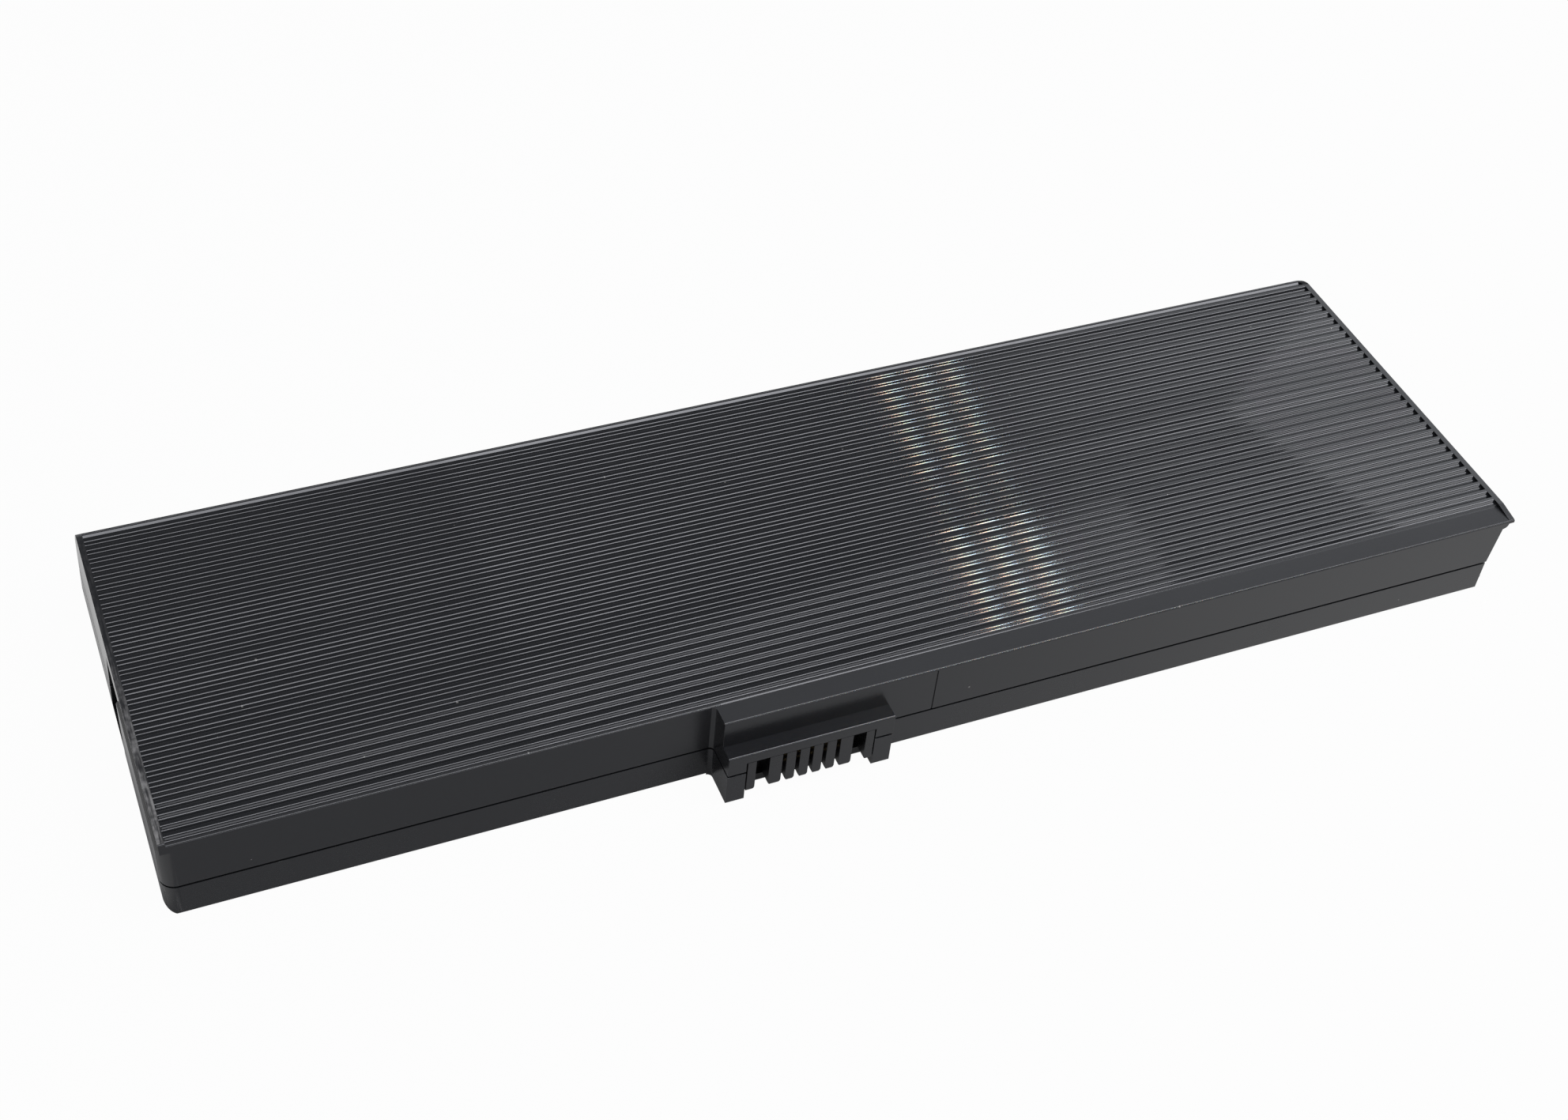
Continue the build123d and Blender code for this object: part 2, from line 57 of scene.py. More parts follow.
# Moulded plastic: its looks, its broken edges and how its faces are joined
MOULDED_IOR = 1.58
SHELL_BLACK = ((0.0085, 0.009, 0.0105), (0.0125, 0.013, 0.0145))
BLOCK_BLACK = ((0.009, 0.009, 0.01), (0.014, 0.014, 0.015))
GRAIN_RELIEF = 0.012 * MM
COVER_EDGE = 0.06 * MM
TRAY_EDGE = 0.05 * MM
BLOCK_EDGE = 0.09 * MM
SHARP = radians(40)
FLAT = radians(0.4)
MERGE_GAP = 0.002 * MM

# Where the finishes change on the pieces inside, in millimetres
CELLS = 12
CELL_ROW_Y = 0.35
CELL_ROW_PITCH = 17.2
CELL_AXIS_Z = 9.7
SLEEVE_HOLE = 6.3
WELD_STEP = 1.6
WELD_DOT = 0.55
CONTACTS = 5
BOARD_MIDDLE_Y = -23.9
BOARD_TOP_Z = 5.9
BOARD_BOTTOM_Z = 4.7
TRACK_PITCH = 1.9
CHIP_ROW_Y = -25.4
RESISTOR_X = -16.7
FUSE_X = -32.05
CAPACITOR_X = 2.43
CAPACITOR_STEP = 7.66
BEAD_FRONT_Y = -7.8
FAR = 400.0  # a pitch so wide that a row has one middle
GAUGE_HALF = 2.2
CHIP_HALF = 2.0
RESISTOR_HALF = 2.4
FUSE_HALF = 1.8
CAPACITOR_HALF = 0.65

# Colours of the pieces inside, darkest and lightest
NICKEL = ((0.54, 0.53, 0.49), (0.72, 0.71, 0.67))
BRASS = ((0.52, 0.38, 0.16), (0.80, 0.62, 0.30))
CHIP_RESIN = ((0.010, 0.010, 0.011), (0.022, 0.022, 0.023))
FUSE_BODY = ((0.50, 0.48, 0.43), (0.60, 0.58, 0.52))
CAPACITOR_BODY = ((0.40, 0.29, 0.18), (0.52, 0.39, 0.25))

# Room, table and lamps
ROOM_GLOW = 0.16
BEHIND_GLOW = 1.35
TABLE_GAP = 0.05 * MM
COOL_WHITE = (0.93, 0.94, 1.0)
TUBES = 3
TUBE_X = 0.412
TUBE_STEP = 0.024
TUBE_WIDTH = 0.004
TUBE_RADIANCE = 80.0
TUBE_COLOURS = ((1.0, 0.55, 0.38), (0.80, 1.0, 0.62), (0.50, 0.72, 1.0))

# Axes, and where random tones count as dark and as light
X, Y, Z = range(3)
DARK_TONE = 0.3
LIGHT_TONE = 0.7


# Camera, floor and lights

def place_camera():
    """Camera of the product shot: from the front left, looking down at about 45 degrees."""
    lens = bpy.data.cameras.new("product_camera")
    lens.lens = 50.79
    lens.sensor_width = 36.0
    lens.clip_start = 0.01
    camera = bpy.data.objects.new("product_camera", lens)
    camera.location = (-0.1507, -0.2820, 0.3261)
    camera.rotation_euler = (radians(45.057), radians(-4.526), radians(-22.355))
    bpy.context.scene.collection.objects.link(camera)
    bpy.context.scene.camera = camera


def softbox(name, at, toward, size, radiance, colour=(1.0, 1.0, 1.0)):
    """A rectangular soft lamp that faces a point; its face looks as bright as the radiance says."""
    lamp = bpy.data.lights.new(name, "AREA")
    lamp.shape = "RECTANGLE"
    lamp.size = size[0]
    lamp.size_y = size[1]
    lamp.energy = radiance * pi * size[0] * size[1]
    lamp.color = colour
    box = bpy.data.objects.new(name, lamp)
    box.location = at
    box.rotation_euler = (Vector(toward) - Vector(at)).to_track_quat("-Z", "Y").to_euler()
    bpy.context.scene.collection.objects.link(box)


def light_studio():
    """A dim room that glows behind on the right, two boxes overhead, a front panel, far tubes, a side lamp.

    Each far tube is three narrow lamps in three colours, side by side, which tint the glints on the ribs.
    """
    world = bpy.data.worlds.new("dim_room")
    world.use_nodes = True
    tree = world.node_tree
    room = tree.nodes["Background"]
    room.inputs["Color"].default_value = (0.92, 0.95, 1.0, 1.0)
    toward = tree.nodes.new("ShaderNodeTexCoord").outputs["Generated"]
    behind = work(tree, "MULTIPLY", ramp(tree, axis_of(tree, toward, Y), 0.1, 0.4),
                  ramp(tree, axis_of(tree, toward, X), 0.34, 0.56))
    behind = work(tree, "MULTIPLY", behind, ramp(tree, axis_of(tree, toward, Z), 0.35, 0.58))
    tree.links.new(work(tree, "MULTIPLY_ADD", behind, BEHIND_GLOW, ROOM_GLOW), room.inputs["Strength"])
    bpy.context.scene.world = world
    softbox("overhead_box", (-0.115, -0.20, 0.95), (-0.115, -0.05, 0.0), (0.47, 0.45), 4.6, COOL_WHITE)
    softbox("overhead_right_box", (0.535, -0.20, 0.95), (0.535, -0.05, 0.0), (0.83, 0.45), 6.0, COOL_WHITE)
    softbox("front_panel", (0.15, -1.25, 0.50), (0.0, 0.0, 0.02), (1.2, 0.5), 1.6, COOL_WHITE)
    for tube in range(TUBES):
        for band, colour in enumerate(TUBE_COLOURS):
            at = (TUBE_X + TUBE_STEP * tube + TUBE_WIDTH * band, -0.50, 0.79)
            softbox("far_tube_%d_%d" % (tube, band), at, (at[0], 0.0, 0.02), (TUBE_WIDTH, 0.13),
                    TUBE_RADIANCE, colour)
    softbox("side_lamp", (0.55, -0.35, 0.22), (0.12, -0.02, 0.01), (0.30, 0.25), 2.5, (0.95, 0.96, 1.0))


def lay_floor():
    """Pale table top: white to the eye, with the part's soft shadow; to glossy rays it glows white in places
    near the ends of the part, a painted reflection in the plastic.
    """
    bpy.ops.object.select_all(action="DESELECT")
    bpy.ops.mesh.primitive_plane_add(size=6.0, location=(0.0, 0.0, -TABLE_GAP))
    table = bpy.context.object
    table.name = "table_top"
    paint = bpy.data.materials.new("table_white")
    paint.use_nodes = True
    tree = paint.node_tree
    nodes = tree.nodes
    links = tree.links
    nodes.clear()
    out = nodes.new("ShaderNodeOutputMaterial")
    matt = nodes.new("ShaderNodeBsdfDiffuse")
    matt.inputs["Color"].default_value = (0.36, 0.36, 0.36, 1.0)
    glow = nodes.new("ShaderNodeEmission")
    glow.inputs["Strength"].default_value = 1.0
    path = nodes.new("ShaderNodeLightPath")
    seen = work(tree, "MULTIPLY", path.outputs["Is Camera Ray"], 0.97)
    point = place_in_mm(tree)
    x = axis_of(tree, point, X)
    y = axis_of(tree, point, Y)
    # Painted reflection: glossy rays see the table glow white near the right end and beyond the left end,
    # though no lamp lights it there
    right = work(tree, "MULTIPLY", ramp(tree, x, -80.0, 140.0, 0.03, 0.62), ramp(tree, y, 20.0, -30.0))
    left = work(tree, "MULTIPLY", ramp(tree, x, -138.0, -143.0), ramp(tree, y, -15.0, 25.0, 0.3, 1.0))
    painted_reflection_glow = work(tree, "MAXIMUM", left, right)
    share = work(tree, "MULTIPLY_ADD", path.outputs["Is Glossy Ray"], painted_reflection_glow, seen)
    mix = nodes.new("ShaderNodeMixShader")
    links.new(share, mix.inputs["Fac"])
    links.new(matt.outputs[0], mix.inputs[1])
    links.new(glow.outputs[0], mix.inputs[2])
    links.new(mix.outputs[0], out.inputs["Surface"])
    table.data.materials.append(paint)


# Mouldings

def select_only(piece):
    bpy.ops.object.select_all(action="DESELECT")
    piece.select_set(True)
    bpy.context.view_layer.objects.active = piece


def select_edges(mesh, wanted):
    """Selects the edges between two faces that a test picks out."""
    bm = bmesh.from_edit_mesh(mesh)
    for edge in bm.edges:
        edge.select_set(len(edge.link_faces) == 2 and wanted(edge))
    bm.select_flush_mode()
    bmesh.update_edit_mesh(mesh)


def is_outer(edge):
    """A convex edge that a mould or a hand would break."""
    return edge.is_convex and edge.calc_face_angle(0.0) > SHARP and edge.calc_length() > 0.5 * MM


def mark_faces(mesh, name, wanted):
    """Marks the faces that a test picks out, for the finishes to read."""
    bm = bmesh.from_edit_mesh(mesh)
    mark = bm.faces.layers.float.new(name)
    for face in bm.faces:
        face[mark] = 1.0 if wanted(face) else 0.0
    bmesh.update_edit_mesh(mesh)


def is_ribbed(face):
    """The ribs and the grooves between them, also where they bend down over the back edge."""
    middle = face.calc_center_median()
    if middle.y < BACK_ROUND_Y:
        return middle.y > FIRST_RIB_FOOT and middle.z > TOP - RIB_REACH and face.normal.z > 0.3
    return hypot(middle.y - BACK_ROUND_Y, middle.z - TOP + BACK_ROUND) > BACK_ROUND - RIB_REACH


def is_band(face):
    """The low strip along the front edge of the cover."""
    middle = face.calc_center_median()
    return middle.y < FIRST_RIB_FOOT and middle.z > TOP - BAND_REACH and face.normal.z > 0.9


def moulded(node, name, edge_round, material, cuts=()):
    """A copy of a moulding with whole faces, broken edges and clean shading; it stands for the node.

    Its wide faces are parted at the cuts, so that none of them is a comb.
    """
    shell = bpy.data.objects.new(name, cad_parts[node].data.copy())
    bpy.context.scene.collection.objects.link(shell)
    select_only(shell)
    bpy.ops.mesh.customdata_custom_splitnormals_clear()
    bpy.ops.object.mode_set(mode="EDIT")
    bpy.ops.mesh.select_mode(type="EDGE")
    bpy.ops.mesh.select_all(action="SELECT")
    bpy.ops.mesh.remove_doubles(threshold=MERGE_GAP)
    for x in cuts:
        bpy.ops.mesh.select_all(action="SELECT")
        bpy.ops.mesh.bisect(plane_co=(x, 0.0, 0.0), plane_no=(1.0, 0.0, 0.0))
        bpy.ops.mesh.mark_seam()
    bpy.ops.mesh.select_all(action="SELECT")
    bpy.ops.mesh.dissolve_limited(angle_limit=FLAT, delimit={"SEAM"})
    mark_faces(shell.data, "ribbed", is_ribbed)
    mark_faces(shell.data, "band", is_band)
    select_edges(shell.data, is_outer)
    bpy.ops.mesh.bevel(offset=edge_round, segments=2, affect="EDGES", clamp_overlap=False)
    mark_faces(shell.data, "outer_edge", lambda face: face.select)
    bpy.ops.object.mode_set(mode="OBJECT")
    bpy.ops.object.shade_smooth_by_angle(angle=SHARP)
    even = shell.modifiers.new("even_faces", "WEIGHTED_NORMAL")
    even.weight = 80
    even.keep_sharp = True
    bpy.ops.object.modifier_apply(modifier="even_faces")
    shell.data.materials.clear()
    shell.data.materials.append(material)
    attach(shell, "root")
    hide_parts(node)


# Shared effects, as node groups

def new_group(name, takes, gives):
    """An empty effect with number inputs, given their usual values, and number outputs."""
    tree = bpy.data.node_groups.new(name, "ShaderNodeTree")
    for socket, usual in takes.items():
        tree.interface.new_socket(socket, in_out="INPUT", socket_type="NodeSocketFloat").default_value = usual
    for socket in gives:
        tree.interface.new_socket(socket, in_out="OUTPUT", socket_type="NodeSocketFloat")
    return tree, tree.nodes.new("NodeGroupInput").outputs, tree.nodes.new("NodeGroupOutput").inputs


def feed(tree, socket, source):
    """Puts a number, a colour or another node's output into a socket."""
    if isinstance(source, bpy.types.NodeSocket):
        tree.links.new(source, socket)
    else:
        socket.default_value = source


def work(tree, operation, *values):
    """One step of arithmetic."""
    node = tree.nodes.new("ShaderNodeMath")
    node.operation = operation
    for socket, value in zip(node.inputs, values):
        feed(tree, socket, value)
    return node.outputs[0]


def ramp(tree, value, low, high, from_value=0.0, to_value=1.0):
    """Goes smoothly from one value to another while the input goes from low to high."""
    node = tree.nodes.new("ShaderNodeMapRange")
    node.interpolation_type = "SMOOTHSTEP"
    for socket, number in zip(("Value", "From Min", "From Max", "To Min", "To Max"),
                              (value, low, high, from_value, to_value)):
        feed(tree, node.inputs[socket], number)
    return node.outputs["Result"]


def by_tone(tree, tone, low, high):
    """Goes smoothly from one value to another while random tones go from dark to light."""
    return ramp(tree, tone, DARK_TONE, LIGHT_TONE, low, high)


def place_in_mm(tree, stretch=(1.0, 1.0, 1.0)):
    """The point on the piece in millimetres, drawn out along its axes."""
    coordinates = tree.nodes.new("ShaderNodeTexCoord")
    scale = tree.nodes.new("ShaderNodeMapping")
    scale.inputs["Scale"].default_value = tuple(1000.0 / s for s in stretch)
    tree.links.new(coordinates.outputs["Object"], scale.inputs["Vector"])
    return scale.outputs["Vector"]


def axis_of(tree, vector, axis):
    split = tree.nodes.new("ShaderNodeSeparateXYZ")
    tree.links.new(vector, split.inputs[0])
    return split.outputs[axis]


def clouds(tree, vector, fineness, detail=2.0):
    """Soft random tones, with the given number of them to a millimetre."""
    noise = tree.nodes.new("ShaderNodeTexNoise")
    tree.links.new(vector, noise.inputs["Vector"])
    feed(tree, noise.inputs["Scale"], fineness)
    noise.inputs["Detail"].default_value = detail
    return noise.outputs["Fac"]


def make_mould_grain():
    """The mould's fine etched grain, and the slow change of its depth over the surface."""
    tree, takes, gives = new_group("mould_grain", {"Grains per mm": 3.0}, ("Height", "Tone"))
    point = place_in_mm(tree)
    fine = clouds(tree, point, takes["Grains per mm"], 3.0)
    slow = clouds(tree, point, 0.06, 2.0)
    tree.links.new(work(tree, "MULTIPLY", fine, by_tone(tree, slow, 0.75, 1.0)), gives["Height"])
    tree.links.new(work(tree, "ADD", work(tree, "MULTIPLY", fine, 0.5), work(tree, "MULTIPLY", slow, 0.5)),
                   gives["Tone"])
    return tree


def make_handling_sheen():
    """Rubbed streaks along the piece and the cloudy marks of hands."""
    tree, takes, gives = new_group("handling_sheen", {"Streaks per mm": 2.0}, ("Streaks", "Marks"))
    streaks = clouds(tree, place_in_mm(tree, (40.0, 1.0, 1.0)), takes["Streaks per mm"], 2.0)
    marks = clouds(tree, place_in_mm(tree), 0.09, 4.0)
    tree.links.new(streaks, gives["Streaks"])
    tree.links.new(ramp(tree, marks, 0.35, 0.7), gives["Marks"])
    return tree


def make_stray_dust():
    """A few pale specks, each its own size."""
    tree, takes, gives = new_group("stray_dust", {"Specks per mm": 0.3, "Speck size": 0.1}, ("Specks",))
    cells = tree.nodes.new("ShaderNodeTexVoronoi")
    tree.links.new(place_in_mm(tree), cells.inputs["Vector"])
    tree.links.new(takes["Specks per mm"], cells.inputs["Scale"])
    own = axis_of(tree, cells.outputs["Color"], X)
    reach = work(tree, "MULTIPLY", work(tree, "MULTIPLY", own, own), takes["Speck size"])
    inside = work(tree, "SUBTRACT", reach, cells.outputs["Distance"])
    tree.links.new(ramp(tree, inside, 0.0, 0.03), gives["Specks"])
    return tree


def make_worn_edges():
    """Where the broken edges have rubbed pale, in short patches."""
    tree, takes, gives = new_group("worn_edges", {"Patches per mm": 0.5, "Cover": 0.5}, ("Wear",))
    edge = tree.nodes.new("ShaderNodeAttribute")
    edge.attribute_name = "outer_edge"
    patches = clouds(tree, place_in_mm(tree), takes["Patches per mm"], 5.0)
    low = work(tree, "SUBTRACT", 1.0, takes["Cover"])
    patch = ramp(tree, patches, low, work(tree, "ADD", low, 0.2))
    tree.links.new(work(tree, "MULTIPLY", patch, edge.outputs["Fac"]), gives["Wear"])
    return tree


# Finishes

def new_finish(name):
    finish = bpy.data.materials.new(name)
    finish.use_nodes = True
    return finish, finish.node_tree, finish.node_tree.nodes["Principled BSDF"]


def effect(tree, group, **values):
    """Places a shared effect in a finish with its own values."""
    node = tree.nodes.new("ShaderNodeGroup")
    node.node_tree = group
    for socket, value in values.items():
        node.inputs[socket.replace("_", " ")].default_value = value
    return node.outputs


def tint(tree, amount, low, high):
    """A colour between two, by an amount."""
    mix = tree.nodes.new("ShaderNodeMix")
    mix.data_type = "RGBA"
    feed(tree, mix.inputs["Factor"], amount)
    for socket, colour in zip((mix.inputs[6], mix.inputs[7]), (low, high)):
        feed(tree, socket, colour if isinstance(colour, bpy.types.NodeSocket) else (*colour, 1.0))
    return mix.outputs[2]


def blend(tree, amount, low, high):
    """A number between two, by an amount."""
    mix = tree.nodes.new("ShaderNodeMix")
    for socket, value in zip((mix.inputs["Factor"], mix.inputs[2], mix.inputs[3]), (amount, low, high)):
        feed(tree, socket, value)
    return mix.outputs[0]


def relief(tree, shader, height, depth):
    """Fine relief of the given depth in metres."""
    bump = tree.nodes.new("ShaderNodeBump")
    bump.inputs["Distance"].default_value = depth
    tree.links.new(height, bump.inputs["Height"])
    tree.links.new(bump.outputs["Normal"], shader.inputs["Normal"])


def mask_of(tree, name):
    mark = tree.nodes.new("ShaderNodeAttribute")
    mark.attribute_name = name
    return mark.outputs["Fac"]


def cover_finish():
    """Black cover: etched grain on walls, band and rims, ribs rubbed to a polish, left rim worn pale."""
    finish, tree, shader = new_finish("ribbed_cover_black")
    grain = effect(tree, mould_grain, Grains_per_mm=3.5)
    sheen = effect(tree, handling_sheen, Streaks_per_mm=1.6)
    dust = effect(tree, stray_dust, Specks_per_mm=0.22, Speck_size=0.07)
    wear = effect(tree, worn_edges, Patches_per_mm=0.6, Cover=0.42)
    point = place_in_mm(tree)
    x = axis_of(tree, point, X)
    y = axis_of(tree, point, Y)
    left = LEFT_RIM / MM
    right = RIGHT_RIM / MM
    on_ribs = work(tree, "MULTIPLY", ramp(tree, x, left - 0.05, left + 0.05),
                   ramp(tree, x, right + 0.05, right - 0.05))
    polish = work(tree, "MULTIPLY", mask_of(tree, "ribbed"), on_ribs)
    rim = work(tree, "MULTIPLY", ramp(tree, x, left + 0.05, left - 0.1), mask_of(tree, "ribbed"))
    rim_wear = work(tree, "MULTIPLY", rim, ramp(tree, y, 20.0, -30.0, 0.05, 0.55))
    patches = clouds(tree, point, 0.7, 4.0)
    rim_wear = work(tree, "MULTIPLY", rim_wear, ramp(tree, patches, 0.3, 0.65, 0.35, 1.0))
    scuffs = clouds(tree, place_in_mm(tree, (1.0, 14.0, 1.0)), 2.6, 3.0)
    rim_wear = work(tree, "MULTIPLY", rim_wear, ramp(tree, scuffs, 0.38, 0.6, 0.15, 1.0))
    black = tint(tree, grain["Tone"], *SHELL_BLACK)
    paler = tint(tree, work(tree, "MULTIPLY", dust["Specks"], 0.55), black, (0.36, 0.35, 0.33))
    worn = tint(tree, work(tree, "MULTIPLY", wear["Wear"], 0.35), paler, (0.22, 0.22, 0.22))
    worn = tint(tree, rim_wear, worn, (0.42, 0.41, 0.40))
    tree.links.new(worn, shader.inputs["Base Color"])
    etched = by_tone(tree, grain["Tone"], 0.20, 0.27)
    etched = work(tree, "ADD", etched, work(tree, "MULTIPLY", mask_of(tree, "band"), 0.24))
    rubbed = work(tree, "ADD", work(tree, "MULTIPLY", sheen["Streaks"], 0.02),
                  work(tree, "MULTIPLY", sheen["Marks"], 0.015))
    rubbed = work(tree, "ADD", rubbed, 0.03)
    tree.links.new(blend(tree, polish, etched, rubbed), shader.inputs["Roughness"])
    height = work(tree, "MULTIPLY", grain["Height"], work(tree, "SUBTRACT", 1.0, polish))
    relief(tree, shader, height, GRAIN_RELIEF)
    shader.inputs["IOR"].default_value = MOULDED_IOR
    return finish


def shell_finish(name, dark, light, grains, rough_low, rough_high, edge_cover):
    """Black moulded plastic with an etched grain, handling marks, specks and rubbed edges."""
    finish, tree, shader = new_finish(name)
    grain = effect(tree, mould_grain, Grains_per_mm=grains)
    sheen = effect(tree, handling_sheen, Streaks_per_mm=0.8)
    dust = effect(tree, stray_dust, Specks_per_mm=0.25, Speck_size=0.07)
    wear = effect(tree, worn_edges, Patches_per_mm=0.5, Cover=edge_cover)
    black = tint(tree, grain["Tone"], dark, light)
    paler = tint(tree, work(tree, "MULTIPLY", dust["Specks"], 0.5), black, (0.33, 0.32, 0.31))
    worn = tint(tree, work(tree, "MULTIPLY", wear["Wear"], 0.4), paler, (0.24, 0.24, 0.24))
    tree.links.new(worn, shader.inputs["Base Color"])
    matt = by_tone(tree, grain["Tone"], rough_low, rough_high)
    tree.links.new(work(tree, "SUBTRACT", matt, work(tree, "MULTIPLY", sheen["Marks"], 0.05)),
                   shader.inputs["Roughness"])
    relief(tree, shader, grain["Height"], GRAIN_RELIEF)
    shader.inputs["IOR"].default_value = MOULDED_IOR
    return finish


def off_centre(tree, along, middle, pitch):
    """How far a point is from the nearest of a row of middles."""
    aside = work(tree, "WRAP", work(tree, "SUBTRACT", along, middle), pitch / 2, -pitch / 2)
    return work(tree, "ABSOLUTE", aside)


def slant(tree, across, up):
    """The straight distance that two distances at right angles make."""
    return work(tree, "SQRT", work(tree, "ADD", work(tree, "MULTIPLY", across, across),
                                   work(tree, "MULTIPLY", up, up)))


def off_axis(tree, point):
    """How far a point is from the axis of the nearest cell."""
    across = off_centre(tree, axis_of(tree, point, Y), CELL_ROW_Y, CELL_ROW_PITCH)
    return slant(tree, across, work(tree, "SUBTRACT", axis_of(tree, point, Z), CELL_AXIS_Z))


def cell_finish():
    """Green shrink sleeve with a slight pull in it, drawn in round the bare steel of the ends."""
    finish, tree, shader = new_finish("cell_sleeve_green")
    point = place_in_mm(tree)
    sheen = effect(tree, handling_sheen, Streaks_per_mm=0.7)
    grain = effect(tree, mould_grain, Grains_per_mm=1.2)
    steel = ramp(tree, off_axis(tree, point), SLEEVE_HOLE + 0.05, SLEEVE_HOLE - 0.05)
    sleeve = tint(tree, sheen["Marks"], (0.085, 0.27, 0.14), (0.11, 0.33, 0.18))
    bare = tint(tree, grain["Tone"], (0.50, 0.50, 0.48), (0.66, 0.65, 0.62))
    tree.links.new(tint(tree, steel, sleeve, bare), shader.inputs["Base Color"])
    tree.links.new(steel, shader.inputs["Metallic"])
    film = by_tone(tree, sheen["Streaks"], 0.22, 0.34)
    tree.links.new(blend(tree, steel, film, by_tone(tree, grain["Tone"], 0.28, 0.42)),
                   shader.inputs["Roughness"])
    relief(tree, shader, sheen["Streaks"], 0.02 * MM)
    return finish


def rolled_metal_finish(name, dull, bright, stretch, rough_low, rough_high):
    """Rolled strip: fine lines along the way it was rolled, cloudy tarnish over them."""
    finish, tree, shader = new_finish(name)
    lines = clouds(tree, place_in_mm(tree, stretch), 6.0, 3.0)
    sheen = effect(tree, handling_sheen, Streaks_per_mm=1.0)
    tone = blend(tree, sheen["Marks"], lines, work(tree, "MULTIPLY", lines, 0.6))
    tree.links.new(tint(tree, ramp(tree, tone, 0.2, 0.7), dull, bright), shader.inputs["Base Color"])
    tree.links.new(ramp(tree, tone, 0.2, 0.7, rough_high, rough_low), shader.inputs["Roughness"])
    shader.inputs["Metallic"].default_value = 1.0
    relief(tree, shader, lines, 0.004 * MM)
    return finish


def plate_finish():
    """Nickel plate with four weld dots over each cell end."""
    finish, tree, shader = new_finish("welded_nickel")
    point = place_in_mm(tree)
    lines = clouds(tree, place_in_mm(tree, (1.0, 20.0, 1.0)), 6.0, 3.0)
    across = off_centre(tree, axis_of(tree, point, Y), CELL_ROW_Y, CELL_ROW_PITCH)
    up = off_centre(tree, axis_of(tree, point, Z), CELL_AXIS_Z, CELL_ROW_PITCH)
    aside = work(tree, "SUBTRACT", across, WELD_STEP)
    above = work(tree, "SUBTRACT", up, WELD_STEP)
    away = slant(tree, aside, above)
    dot = ramp(tree, away, WELD_DOT, 0.5 * WELD_DOT)
    halo = ramp(tree, away, 2.0 * WELD_DOT, WELD_DOT)
    plain = tint(tree, lines, (0.56, 0.55, 0.51), (0.72, 0.71, 0.67))
    tree.links.new(tint(tree, work(tree, "MULTIPLY", halo, 0.5), plain, (0.40, 0.36, 0.31)),
                   shader.inputs["Base Color"])
    rolled = by_tone(tree, lines, 0.22, 0.36)
    tree.links.new(blend(tree, halo, rolled, 0.5), shader.inputs["Roughness"])
    shader.inputs["Metallic"].default_value = 1.0
    relief(tree, shader, work(tree, "SUBTRACT", work(tree, "MULTIPLY", lines, 0.05), dot), 0.1 * MM)
    return finish


def foam_finish():
    """Black foam with open pores, the middle of each pore painted darker as painted shade."""
    finish, tree, shader = new_finish("foam_black")
    pores = tree.nodes.new("ShaderNodeTexVoronoi")
    tree.links.new(place_in_mm(tree), pores.inputs["Vector"])
    pores.inputs["Scale"].default_value = 2.2
    depth = ramp(tree, pores.outputs["Distance"], 0.1, 0.6)
    slow = clouds(tree, place_in_mm(tree), 0.15, 3.0)
    dark = tint(tree, slow, (0.016, 0.016, 0.017), (0.03, 0.03, 0.031))
    # Painted shade: the middle of each pore is coloured darker than the foam around it
    tree.links.new(tint(tree, depth, (0.008, 0.008, 0.009), dark), shader.inputs["Base Color"])
    tree.links.new(ramp(tree, depth, 0.0, 1.0, 1.0, 0.88), shader.inputs["Roughness"])
    relief(tree, shader, depth, 0.2 * MM)
    return finish


def liner_finish():
    """Pale insulating paper with its fibres."""
    finish, tree, shader = new_finish("fibre_paper")
    fibres = clouds(tree, place_in_mm(tree, (6.0, 1.0, 1.0)), 2.4, 5.0)
    slow = clouds(tree, place_in_mm(tree), 0.05, 3.0)
    paper = tint(tree, slow, (0.72, 0.69, 0.60), (0.82, 0.79, 0.70))
    speckled = tint(tree, ramp(tree, fibres, 0.55, 0.75), paper, (0.62, 0.57, 0.46))
    tree.links.new(speckled, shader.inputs["Base Color"])
    tree.links.new(by_tone(tree, fibres, 0.7, 0.85), shader.inputs["Roughness"])
    relief(tree, shader, fibres, 0.03 * MM)
    return finish


def board_finish():
    """Green mask over copper tracks, with the laminate's brown at the cut edges."""
    finish, tree, shader = new_finish("board_green")
    point = place_in_mm(tree)
    z = axis_of(tree, point, Z)
    bend = work(tree, "MULTIPLY", clouds(tree, place_in_mm(tree, (8.0, 2.0, 1.0)), 0.5, 0.0), 4.0)
    across = work(tree, "ADD", axis_of(tree, point, Y), work(tree, "SNAP", bend, 0.7))
    track = ramp(tree, off_centre(tree, across, BOARD_MIDDLE_Y, TRACK_PITCH), 0.42, 0.36)
    grain = effect(tree, mould_grain, Grains_per_mm=2.0)
    mask = tint(tree, grain["Tone"], (0.018, 0.13, 0.06), (0.03, 0.18, 0.085))
    tracked = tint(tree, track, mask, (0.055, 0.27, 0.13))
    faces = work(tree, "MAXIMUM", ramp(tree, z, BOARD_TOP_Z - 0.08, BOARD_TOP_Z - 0.03),
                 ramp(tree, z, BOARD_BOTTOM_Z + 0.08, BOARD_BOTTOM_Z + 0.03))
    tree.links.new(tint(tree, faces, (0.33, 0.29, 0.15), tracked), shader.inputs["Base Color"])
    tree.links.new(blend(tree, faces, 0.8, by_tone(tree, grain["Tone"], 0.24, 0.34)),
                   shader.inputs["Roughness"])
    relief(tree, shader, track, 0.035 * MM)
    return finish


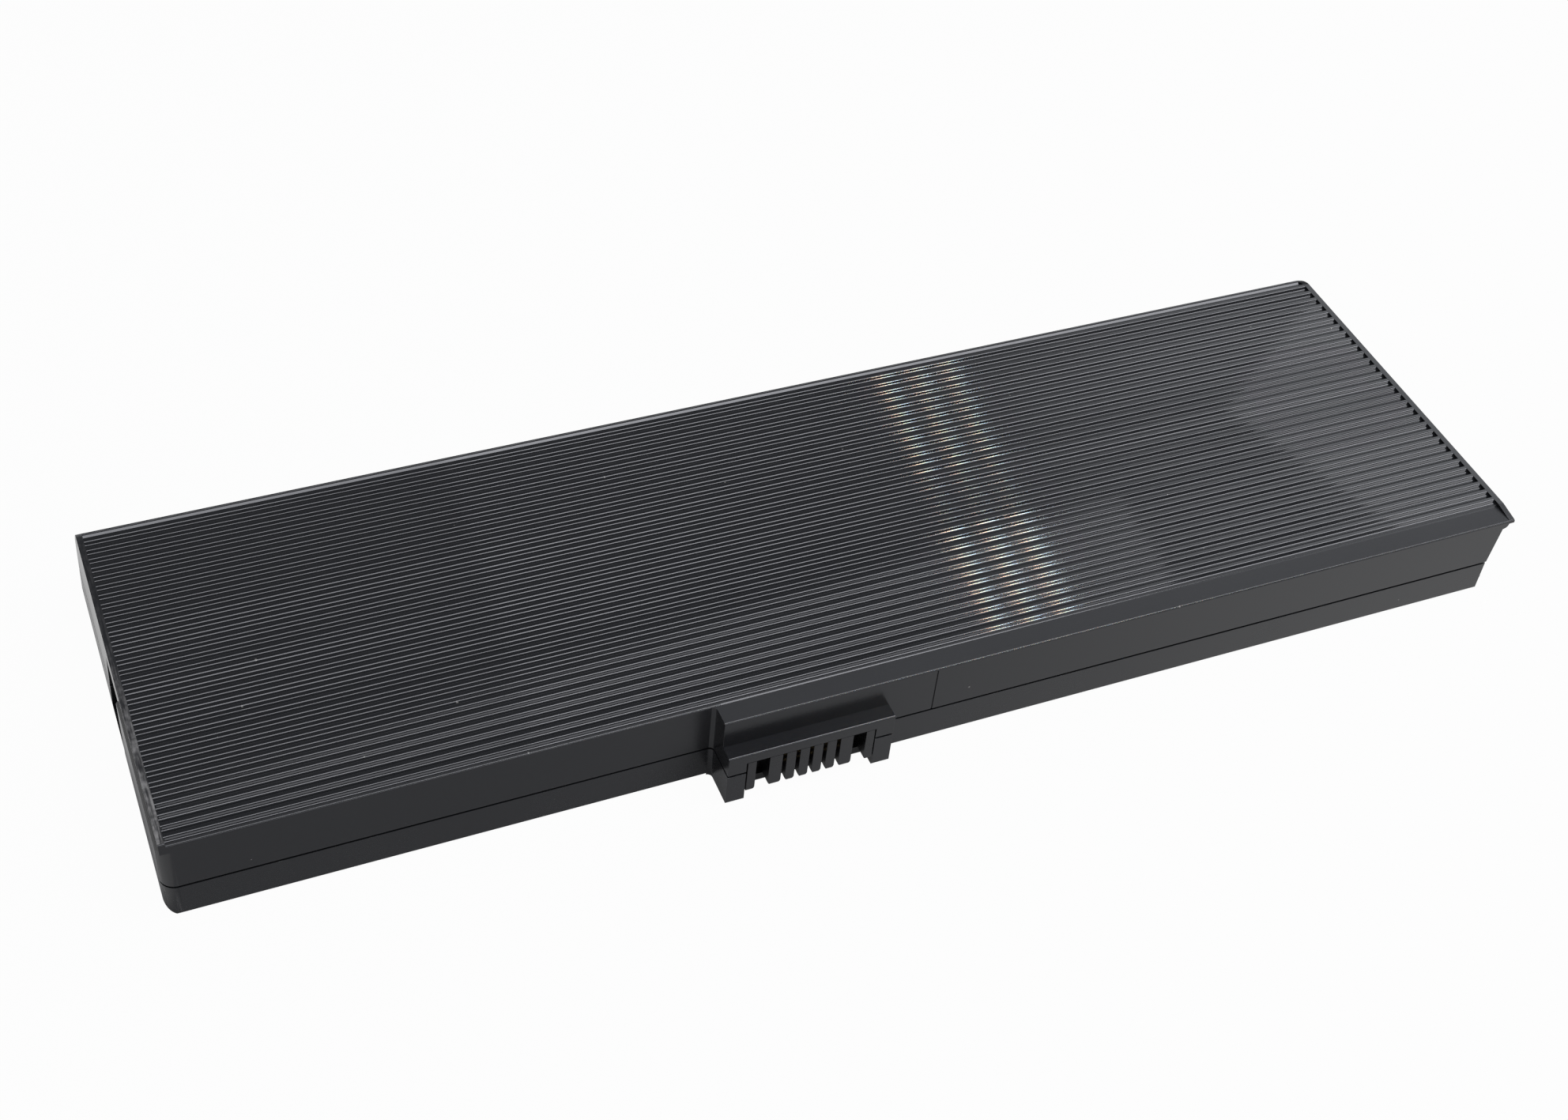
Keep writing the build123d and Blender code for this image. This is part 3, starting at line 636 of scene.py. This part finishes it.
def mounted_finish(name, dark, light, axis, middle, pitch, body_half):
    """A part on the board: its moulded or fired body, and tinned metal beyond the ends of the body."""
    finish, tree, shader = new_finish(name)
    grain = effect(tree, mould_grain, Grains_per_mm=6.0)
    away = off_centre(tree, axis_of(tree, place_in_mm(tree), axis), middle, pitch)
    tin = ramp(tree, away, body_half - 0.02, body_half + 0.02)
    body = tint(tree, grain["Tone"], dark, light)
    solder = tint(tree, grain["Tone"], (0.55, 0.55, 0.55), (0.72, 0.72, 0.71))
    tree.links.new(tint(tree, tin, body, solder), shader.inputs["Base Color"])
    tree.links.new(tin, shader.inputs["Metallic"])
    matt = by_tone(tree, grain["Tone"], 0.5, 0.66)
    tree.links.new(blend(tree, tin, matt, 0.3), shader.inputs["Roughness"])
    relief(tree, shader, grain["Height"], 0.01 * MM)
    return finish


def sensor_finish():
    """Dark dipped bead on a flat brown lead."""
    finish, tree, shader = new_finish("sensor_bead")
    point = place_in_mm(tree)
    grain = effect(tree, mould_grain, Grains_per_mm=2.5)
    bead = ramp(tree, axis_of(tree, point, Y), BEAD_FRONT_Y - 0.1, BEAD_FRONT_Y + 0.1)
    resin = tint(tree, grain["Tone"], (0.012, 0.012, 0.013), (0.03, 0.028, 0.027))
    lead = tint(tree, grain["Tone"], (0.20, 0.085, 0.02), (0.30, 0.14, 0.035))
    tree.links.new(tint(tree, bead, lead, resin), shader.inputs["Base Color"])
    tree.links.new(by_tone(tree, grain["Tone"], 0.25, 0.4), shader.inputs["Roughness"])
    relief(tree, shader, grain["Height"], 0.03 * MM)
    return finish


def finish_node(node, material):
    """Gives a piece that keeps its own shape its finish."""
    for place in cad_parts[node].material_slots:
        place.material = material


def finish_inner_pieces():
    """The finishes of everything that the shells hold."""
    sleeve = cell_finish()
    for i in range(CELLS):
        finish_node("cell_%d" % (i + 1), sleeve)
    plate = plate_finish()
    for node in ("negative_plate", "series_plate_1", "series_plate_2", "series_plate_3", "positive_plate"):
        finish_node(node, plate)
    strip = rolled_metal_finish("nickel_strip", *NICKEL, (20.0, 1.0, 1.0), 0.22, 0.38)
    for node in ("negative_strip", "sense_strip_1", "sense_strip_2", "sense_strip_3", "positive_strip"):
        finish_node(node, strip)
    spring = rolled_metal_finish("contact_brass", *BRASS, (1.0, 15.0, 1.0), 0.18, 0.34)
    for i in range(CONTACTS):
        finish_node("contact_%d" % (i + 1), spring)
    foam = foam_finish()
    finish_node("end_pad_left", foam)
    finish_node("end_pad_right", foam)
    finish_node("floor_liner", liner_finish())
    finish_node("circuit_board", board_finish())
    finish_node("temperature_sensor", sensor_finish())
    gauge = mounted_finish("gauge_chip_black", *CHIP_RESIN, Y, CHIP_ROW_Y, FAR, GAUGE_HALF)
    finish_node("gauge_chip", gauge)
    small_chip = mounted_finish("small_chip_black", *CHIP_RESIN, Y, CHIP_ROW_Y, FAR, CHIP_HALF)
    for node in ("protection_chip", "charge_transistor", "discharge_transistor"):
        finish_node(node, small_chip)
    resistor = mounted_finish("resistor_black", *CHIP_RESIN, X, RESISTOR_X, FAR, RESISTOR_HALF)
    finish_node("sense_resistor", resistor)
    finish_node("fuse", mounted_finish("fuse_white", *FUSE_BODY, X, FUSE_X, FAR, FUSE_HALF))
    capacitor = mounted_finish("capacitor_tan", *CAPACITOR_BODY, X, CAPACITOR_X, CAPACITOR_STEP,
                               CAPACITOR_HALF)
    finish_node("capacitors", capacitor)


place_camera()
lay_floor()
light_studio()
mould_grain = make_mould_grain()
handling_sheen = make_handling_sheen()
stray_dust = make_stray_dust()
worn_edges = make_worn_edges()
tray_black = shell_finish("lower_shell_black", *SHELL_BLACK, grains=3.5,
                          rough_low=0.22, rough_high=0.30, edge_cover=0.42)
block_black = shell_finish("slotted_block_black", *BLOCK_BLACK, grains=5.0,
                           rough_low=0.28, rough_high=0.38, edge_cover=0.35)
moulded("upper_cover", "ribbed_cover", COVER_EDGE, cover_finish(), RIB_CUTS)
moulded("lower_tray", "lower_shell", TRAY_EDGE, tray_black)
moulded("contact_block", "slotted_block", BLOCK_EDGE, block_black)
finish_inner_pieces()
view = bpy.context.scene.view_settings
view.view_transform = "Standard"
